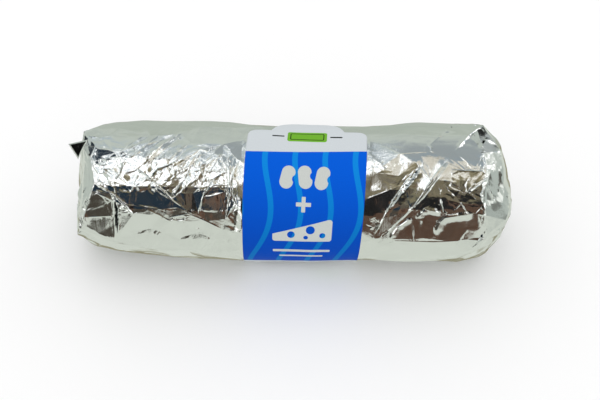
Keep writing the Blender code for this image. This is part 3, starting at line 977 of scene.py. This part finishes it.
def foil_material():
    made, nodes, shader = new_material("foil")
    sheet = nodes.new("UVMap", uv_map="sheet").outputs[0]
    shader.inputs["Base Color"].default_value = (0.86, 0.87, 0.86, 1.0)
    shader.inputs["Metallic"].default_value = 1.0
    cloudy = nodes.noise(sheet, 0.25, 4.0)
    nodes.put(nodes.math("MULTIPLY_ADD", cloudy, 0.14, 0.05), shader.inputs["Roughness"])
    # Rolling marks run round the roll, with fine dents between them and small crinkles in patches.
    stretched = nodes.vector("MULTIPLY", sheet, (3.0, 0.15, 1.0))
    marks = nodes.noise(stretched, 1.0)
    dents = nodes.noise(sheet, 0.8)
    height = nodes.math("MULTIPLY_ADD", dents, 0.8, marks)
    where_crinkled = nodes.steps(0.42, 0.62, nodes.noise(sheet, 0.14))
    crinkles = nodes.math("MULTIPLY", nodes.noise(sheet, 1.6, 1.0), where_crinkled)
    height = nodes.math("MULTIPLY_ADD", crinkles, CRINKLE_SHARE, height)
    nodes.put(nodes.bump(height, 0.00002, 0.5), shader.inputs["Normal"])
    return made


# The print, in mm across and down the label. The second blue of each pair is that blue in painted shade, for
# the panel's lower part.
BLUE, BLUE_PAINTED_SHADE = (0.001, 0.105, 0.67), (0.001, 0.066, 0.46)
WAVE, WAVE_PAINTED_SHADE = (0.004, 0.235, 0.70), (0.002, 0.165, 0.50)
PAPER_WHITE = (0.60, 0.64, 0.665)
PRINT_GREY = (0.56, 0.585, 0.56)
GREEN, INK, BACK_INK = (0.16, 0.42, 0.03), (0.012, 0.014, 0.012), (0.10, 0.11, 0.12)
BLUE_TOP, BLUE_TOP_SLANT = 10.2, 0.040
BLUE_BOTTOM = 53.6
WAVE_SPACING, WAVE_HALF_WIDTH, WAVE_SWING, WAVE_LENGTH, WAVE_LEAN = 9.6, 0.9, 2.3, 42.0, 0.10
EDGE_BLUR = 0.05

BEANS = ((-5.5, 19.0, 12.0), (0.1, 18.8, -8.0), (5.6, 19.0, 10.0))
BEAN_HALF_WIDTH, BEAN_HALF_HEIGHT = 2.15, 3.7
HOLLOW_RADIUS, HOLLOW_BEYOND = 1.35, 0.75
CHEESE_HOLES = ((-3.6, 37.4, 1.25), (1.2, 38.4, 0.75), (2.6, 35.6, 1.45), (6.6, 37.6, 1.0))
# Boxes: across, down, half width, half height, corner. The cheese's upper edge: across, down, slope.
PLUS = ((0.0, 27.3, 2.4, 0.62, 0.2), (0.0, 27.3, 0.62, 2.4, 0.2))
CHEESE_BLOCK, CHEESE_EDGE = (0.0, 36.0, 9.6, 4.0, 0.9), (-9.6, 37.2, -0.29)
FRONT_RULES = ((0.0, 44.6, 9.4, 0.62, 0.3), (0.0, 47.9, 7.2, 0.5, 0.25))
GREEN_BOXES = ((0.0, 3.4, 6.4, 2.5, 0.8), (9.0, 58.6, 5.0, 0.8, 0.3))
BADGE_LINES = ((-9.4, 3.4, 2.0, 0.32, 0.3), (9.4, 3.4, 2.0, 0.32, 0.3))
BADGE_RIM, BADGE_MIDDLE = (0.0, 3.4, 5.5, 1.7, 0.5), (0.0, 3.4, 5.2, 1.4, 0.3)
# The rules on the back: how many, their left end, the first one's place down, and the step to the next.
BACK_RULES, BACK_LEFT, BACK_FIRST, BACK_STEP = 9, -13.0, 64.0, 2.6


class Shapes:
    """Flat shapes as distances to their edges, less than 0 inside, in one material's nodes."""

    def __init__(self, nodes, place):
        self.nodes, self.place = nodes, place

    def box(self, across, down, half_width, half_height, corner, tilt=0.0):
        """A rectangle with rounded corners, turned by tilt."""
        nodes = self.nodes
        place = nodes.vector("SUBTRACT", self.place, (across, down, 0.0))
        if tilt:
            c, s = math.cos(math.radians(tilt)), math.sin(math.radians(tilt))
            turned = nodes.new("CombineXYZ")
            nodes.put(nodes.vector("DOT_PRODUCT", place, (c, s, 0.0)), turned.inputs[0])
            nodes.put(nodes.vector("DOT_PRODUCT", place, (-s, c, 0.0)), turned.inputs[1])
            place = turned.outputs[0]
        away = nodes.vector("ABSOLUTE", place)
        beyond = nodes.vector("SUBTRACT", away, (half_width - corner, half_height - corner, 0.0))
        beyond = nodes.vector("MAXIMUM", beyond, (0.0, 0.0, 0.0))
        return nodes.math("SUBTRACT", nodes.vector("LENGTH", beyond), corner)

    def disc(self, across, down, radius):
        away = self.nodes.vector("DISTANCE", self.place, (across, down, 0.0))
        return self.nodes.math("SUBTRACT", away, radius)

    def below(self, across, down, slope):
        """The half plane under a straight line through a point, further down the label than the line."""
        size = math.hypot(1.0, slope)
        place = self.nodes.vector("SUBTRACT", self.place, (across, down, 0.0))
        height = self.nodes.vector("DOT_PRODUCT", place, (slope, -1.0, 0.0))
        return self.nodes.math("MULTIPLY", height, 1.0 / size)

    def boxes(self, table):
        return [self.box(*row) for row in table]

    def both(self, *distances):
        """What lies in any of the shapes."""
        result = distances[0]
        for distance in distances[1:]:
            result = self.nodes.math("MINIMUM", result, distance)
        return result

    def cut(self, distance, *holes):
        """A shape without the holes."""
        for hole in holes:
            distance = self.nodes.math("MAXIMUM", distance, self.nodes.math("MULTIPLY", hole, -1.0))
        return distance

    def fill(self, distance):
        """1 inside the shape."""
        return self.nodes.steps(EDGE_BLUR, -EDGE_BLUR, distance)


def bean(shapes, across, down, tilt):
    """A bean: a capsule with a hollow in one long side."""
    t = math.radians(tilt)
    body = shapes.box(across, down, BEAN_HALF_WIDTH, BEAN_HALF_HEIGHT, BEAN_HALF_WIDTH, tilt)
    reach = BEAN_HALF_WIDTH + HOLLOW_BEYOND
    hollow = shapes.disc(across + reach * math.cos(t), down + reach * math.sin(t), HOLLOW_RADIUS)
    return shapes.cut(body, hollow)


def front_print(shapes):
    """Plain signs for beans and cheese, and rules in place of small print."""
    beans = [bean(shapes, *place) for place in BEANS]
    cheese = shapes.nodes.math("MAXIMUM", shapes.box(*CHEESE_BLOCK), shapes.below(*CHEESE_EDGE))
    cheese = shapes.cut(cheese, *[shapes.disc(*hole) for hole in CHEESE_HOLES])
    return shapes.fill(shapes.both(*beans, cheese, *shapes.boxes(PLUS + FRONT_RULES)))


def back_print(shapes):
    """Rules of unequal length on the white panel that goes round the back."""
    rules = []
    for row in range(BACK_RULES):
        half = 12.0 - 2.5 * ((row * 3) % 4)
        rules.append(shapes.box(BACK_LEFT + half, BACK_FIRST + BACK_STEP * row, half, 0.35, 0.2))
    return shapes.fill(shapes.both(*rules))


def wave_mask(nodes, across, down):
    """1 on evenly spaced wavy stripes."""
    swing = nodes.math("SINE", nodes.math("MULTIPLY", down, 2.0 * math.pi / WAVE_LENGTH))
    moved = nodes.math("MULTIPLY_ADD", swing, WAVE_SWING, across)
    moved = nodes.math("MULTIPLY_ADD", down, WAVE_LEAN, moved)
    gap = nodes.math("PINGPONG", moved, 0.5 * WAVE_SPACING)
    return nodes.steps(WAVE_HALF_WIDTH + EDGE_BLUR, WAVE_HALF_WIDTH - EDGE_BLUR, gap)


def label_material():
    made, nodes, shader = new_material("label_paper")
    place = nodes.new("UVMap", uv_map="print").outputs[0]
    shapes = Shapes(nodes, place)
    across, down, _ = nodes.parts(place)
    grain = nodes.noise(place, 3.5)
    # Painted shade: the blue and the waves darken from the panel's top towards its bottom, where the label
    # turns down and away from the light.
    depth = nodes.steps(BLUE_TOP, 0.85 * BLUE_BOTTOM, down)
    panel = nodes.mix(depth, BLUE, BLUE_PAINTED_SHADE)
    panel = nodes.mix(wave_mask(nodes, across, down), panel, nodes.mix(depth, WAVE, WAVE_PAINTED_SHADE))
    panel = nodes.mix(front_print(shapes), panel, PRINT_GREY)
    slanted = nodes.math("MULTIPLY_ADD", across, BLUE_TOP_SLANT, down)
    below_top = nodes.steps(BLUE_TOP - EDGE_BLUR, BLUE_TOP + EDGE_BLUR, slanted)
    above_bottom = nodes.steps(BLUE_BOTTOM + EDGE_BLUR, BLUE_BOTTOM - EDGE_BLUR, down)
    colour = nodes.mix(nodes.math("MULTIPLY", below_top, above_bottom), PAPER_WHITE, panel)
    colour = nodes.mix(shapes.fill(shapes.both(*shapes.boxes(GREEN_BOXES))), colour, GREEN)
    rim = shapes.cut(shapes.box(*BADGE_RIM), shapes.box(*BADGE_MIDDLE))
    colour = nodes.mix(shapes.fill(shapes.both(rim, *shapes.boxes(BADGE_LINES))), colour, INK)
    colour = nodes.mix(back_print(shapes), colour, BACK_INK)
    # Fine grain in the paper lightens and darkens the print a little.
    shade = nodes.math("MULTIPLY_ADD", grain, 0.30, 0.85)
    toned = nodes.vector("SCALE", colour)
    nodes.put(shade, toned.node.inputs["Scale"])
    nodes.put(toned, shader.inputs["Base Color"])
    nodes.put(nodes.math("MULTIPLY_ADD", grain, 0.15, 0.43), shader.inputs["Roughness"])
    shader.inputs["Specular IOR Level"].default_value = 0.03
    nodes.put(nodes.bump(grain, 0.00002, 0.3), shader.inputs["Normal"])
    return made


# --- Surroundings ---
STUDIO = (1.06, 1.06, 1.06)
TABLE = (0.66, 0.70, 0.63)
# DIM_TABLE and TAN are darker tones of the table; beneath the roll they are its painted shade.
DIM_TABLE, TAN = (0.46, 0.51, 0.45), (0.30, 0.29, 0.20)
WALL, DULL_WALL, SIDE_WALL = (0.56, 0.61, 0.55), (0.48, 0.53, 0.49), (0.38, 0.42, 0.39)
WHITE, SKY, BLUE_GREY = (1.7, 1.7, 1.7), (0.42, 0.50, 0.57), (0.28, 0.35, 0.40)
GREY, PALE_GREY = (0.33, 0.37, 0.38), (0.50, 0.53, 0.51)
BROWN, RED_BROWN = (0.060, 0.052, 0.040), (0.150, 0.082, 0.052)
NAVY, BLACK = (0.006, 0.020, 0.036), (0.005, 0.005, 0.005)
OLIVE, MAUVE, BEIGE = (0.24, 0.21, 0.12), (0.15, 0.13, 0.11), (0.60, 0.52, 0.36)

# What the foil reflects, by pitch: 0 is level with the front, 90 overhead, 180 level with the back.
# Beneath the roll the foil reflects the table in painted shade, where the roll's shadow falls on it.
BENEATH = ((-180, DIM_TABLE), (-148, DIM_TABLE), (-142, TAN), (-114, TAN), (-106, TABLE))
BEHIND = ((145, DULL_WALL), (157, WALL), (165, DIM_TABLE), (180, DIM_TABLE))
LEFT_ROOM = (
    *BENEATH, (-11, TABLE), (-6, BROWN), (13, BROWN), (16, NAVY), (34, NAVY), (38, OLIVE), (45, BROWN),
    (48, WHITE), (76, WHITE), (81, BLUE_GREY), (88, SKY), (92, WHITE), (98, BLUE_GREY), (106, SKY),
    (112, WALL), (122, SKY), (128, WALL), *BEHIND,
)
MIDDLE_ROOM = (
    *BENEATH, (-12, TABLE), (-8, RED_BROWN), (10, RED_BROWN), (22, BROWN), (30, OLIVE), (44, OLIVE),
    (52, MAUVE), (56, WHITE), (76, WHITE), (84, SKY), (96, WHITE), (106, SKY), (124, WALL), *BEHIND,
)
RIGHT_ROOM = (
    *BENEATH, (-25, TABLE), (-22, RED_BROWN), (6, RED_BROWN), (12, BLACK), (36, BLACK), (41, OLIVE),
    (66, OLIVE), (71, BEIGE), (91, BEIGE), (96, BLUE_GREY), (104, GREY), (132, GREY), (142, WALL), *BEHIND,
)
# The bands are broken into patches; each is a list of (share, colour) stops.
BRIGHT_PATCHES = ((0.0, BLUE_GREY), (0.20, SKY), (0.32, WALL), (0.46, WHITE))
DARK_PATCHES = (
    (0.0, MAUVE), (0.16, OLIVE), (0.38, MAUVE), (0.62, BROWN), (0.70, OLIVE), (0.88, BLACK),
    (0.94, RED_BROWN),
)
LOW_PATCHES = ((0.0, RED_BROWN), (0.45, BLACK), (0.68, RED_BROWN), (0.84, BROWN), (0.92, MAUVE))
BEIGE_PATCHES = ((0.0, OLIVE), (0.35, BEIGE), (0.55, PALE_GREY), (0.86, WHITE))
# Beyond the middle of the room: patches from the darkest to the brightest.
FRONT_PATCHES = ((0.0, GREY), (0.17, PALE_GREY), (0.45, WALL), (0.80, TABLE), (0.86, WHITE))
BACK_PATCHES = (
    (0.0, BLACK), (0.14, BROWN), (0.22, NAVY), (0.30, GREY), (0.42, PALE_GREY), (0.60, WALL), (0.72, SKY),
    (0.78, WHITE),
)
SIDE_PATCHES = (
    (0.0, BROWN), (0.04, SIDE_WALL), (0.45, DULL_WALL), (0.80, WALL), (0.94, TABLE), (0.98, WHITE),
)
# Patches for each unit of direction, how much of a band they take, and the climb of the dark band.
LARGE_PATCHES, SMALL_PATCHES, FINE_PATCHES = 3.2, 14.0, 60.0
BAND_STRENGTH, CLIMB = 0.8, 22.0
# Dark things in the room: (direction, radius, colour).
DARK_SPOTS = (
    ((-0.85, -0.32, -0.42), 0.32, BLACK),
    ((-0.40, -0.90, -0.16), 0.16, BROWN),
    ((-0.445, 0.116, 0.887), 0.14, NAVY),
    ((0.17, -0.49, 0.855), 0.05, BLACK),
    ((0.51, 0.65, 0.57), 0.13, BLACK),
    ((0.44, 0.84, 0.30), 0.13, BLACK),
)


def room(nodes, place, stops):
    return nodes.ramp(place, [((degrees + 180.0) / 360.0, colour) for degrees, colour in stops])


def patches(nodes, towards, scale):
    """A random value from 0 to 1 for each patch of the room."""
    cells = nodes.new("TexVoronoi")
    cells.inputs["Scale"].default_value = scale
    bend = 0.8 / scale
    noise = nodes.noise(towards, 1.3 * scale, output=1)
    nodes.put(nodes.vector("MULTIPLY_ADD", noise, (bend, bend, bend), towards), cells.inputs["Vector"])
    return nodes.parts(cells.outputs["Color"])[0]


def broken(nodes, colour, place, low, high, value, stops):
    """A room whose band between two pitches shows patches instead."""
    low, high = (low + 180.0) / 360.0, (high + 180.0) / 360.0
    above, below = nodes.steps(low, low + 0.006, place), nodes.steps(high, high - 0.006, place)
    band = nodes.math("MULTIPLY", above, below)
    return nodes.mix(nodes.math("MULTIPLY", band, BAND_STRENGTH), colour, nodes.ramp(value, stops))


def reflected_room(nodes, towards):
    """The colour of the room in each direction."""
    x, y, z = nodes.parts(towards)
    pitch = nodes.math("ARCTAN2", z, nodes.math("MULTIPLY", y, -1.0))
    wobble = nodes.math("MULTIPLY_ADD", nodes.noise(towards, 3.0), 0.06, 0.47)
    level = nodes.math("MULTIPLY_ADD", pitch, 0.5 / math.pi, wobble)
    # The dark band of the middle room climbs towards its right.
    climb = nodes.math("MULTIPLY", nodes.steps(-0.17, -0.06, x), nodes.steps(0.51, 0.56, level))
    place = nodes.math("MULTIPLY_ADD", climb, -CLIMB / 360.0, level)
    small, fine = patches(nodes, towards, SMALL_PATCHES), patches(nodes, towards, FINE_PATCHES)
    middle = broken(nodes, room(nodes, place, MIDDLE_ROOM), place, 6.0, 40.0, small, DARK_PATCHES)
    middle = nodes.mix(nodes.steps(-0.160, -0.145, x), room(nodes, place, LEFT_ROOM), middle)
    middle = broken(nodes, middle, place, 52.0, 110.0, small, BRIGHT_PATCHES)
    right = broken(nodes, room(nodes, level, RIGHT_ROOM), level, 38.0, 64.0, small, DARK_PATCHES)
    right = broken(nodes, right, level, 68.0, 94.0, fine, BEIGE_PATCHES)
    right = broken(nodes, right, level, -24.0, 8.0, fine, LOW_PATCHES)
    middle = nodes.mix(nodes.steps(-0.06, -0.045, x), middle, right)
    large = patches(nodes, towards, LARGE_PATCHES)
    front, back = nodes.ramp(large, FRONT_PATCHES), nodes.ramp(large, BACK_PATCHES)
    outer = nodes.mix(nodes.steps(-0.1, 0.1, y), front, back)
    outer = nodes.mix(nodes.steps(-0.06, 0.0, z), TABLE, outer)
    aside = nodes.math("ABSOLUTE", x)
    seen = nodes.mix(nodes.steps(0.42, 0.48, aside), middle, outer)
    seen = nodes.mix(nodes.steps(0.78, 0.86, aside), seen, nodes.ramp(large, SIDE_PATCHES))
    for direction, radius, colour in DARK_SPOTS:
        away = nodes.vector("DISTANCE", towards, direction)
        seen = nodes.mix(nodes.steps(radius, 0.9 * radius, away), seen, colour)
    return seen


def make_world():
    """A pale studio to the camera and to dull surfaces. Gloss reflects a room, as real foil does."""
    world = bpy.data.worlds.new("studio")
    bpy.context.scene.world = world
    world.use_nodes = True
    nodes = Nodes(world.node_tree)
    towards = nodes.new("TexCoord").outputs["Generated"]
    tone = nodes.math("MULTIPLY_ADD", nodes.noise(towards, 9.0, 4.0), 0.32, 0.84)
    toned = nodes.vector("SCALE", reflected_room(nodes, towards))
    nodes.put(tone, toned.node.inputs["Scale"])
    glossy = nodes.new("LightPath").outputs["Is Glossy Ray"]
    nodes.put(nodes.mix(glossy, STUDIO, toned), world.node_tree.nodes["Background"].inputs["Color"])


def make_floor():
    bpy.ops.mesh.primitive_plane_add(size=12.0)
    floor = bpy.context.active_object
    floor.name = "floor"
    made, nodes, shader = new_material("floor")
    shader.inputs["Base Color"].default_value = (0.96, 0.96, 0.96, 1.0)
    shader.inputs["Roughness"].default_value = 0.9
    shader.inputs["Specular IOR Level"].default_value = 0.0
    floor.data.materials.append(made)
    floor.visible_glossy = False


# --- Camera ---
CAMERA_DISTANCE, CAMERA_ELEVATION, CAMERA_TURN = 0.330, 45.0, 1.2
LENS = 59.4
AIM_RIGHT, AIM_DOWN = 0.0030, 0.0029


def make_camera():
    e, a = math.radians(CAMERA_ELEVATION), math.radians(CAMERA_TURN)
    back = Vector((math.sin(a) * math.cos(e), -math.cos(a) * math.cos(e), math.sin(e)))
    right = Vector((math.cos(a), math.sin(a), 0.0))
    up = back.cross(right)
    aim = Vector((0.0, AXIS_Y, AXIS_HEIGHT)) + right * AIM_RIGHT - up * AIM_DOWN
    data = bpy.data.cameras.new("camera")
    data.lens = LENS
    data.clip_start = 0.01
    camera = bpy.data.objects.new("camera", data)
    camera.location = aim + back * CAMERA_DISTANCE
    camera.rotation_euler = (-back).to_track_quat("-Z", "Y").to_euler()
    bpy.context.scene.collection.objects.link(camera)
    bpy.context.scene.camera = camera


def show(piece, made, node):
    """Gives a piece its material and its place in the frame."""
    piece.data.materials.append(made)
    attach(piece, "root")
    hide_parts(node)


bpy.context.scene.view_settings.view_transform = "Standard"
foil = foil_material()
show(make_foil(), foil, "foil_wrap")
show(make_corner(), foil, "foil_wrap")
show(make_label(), label_material(), "paper_label")
make_floor()
make_world()
make_camera()
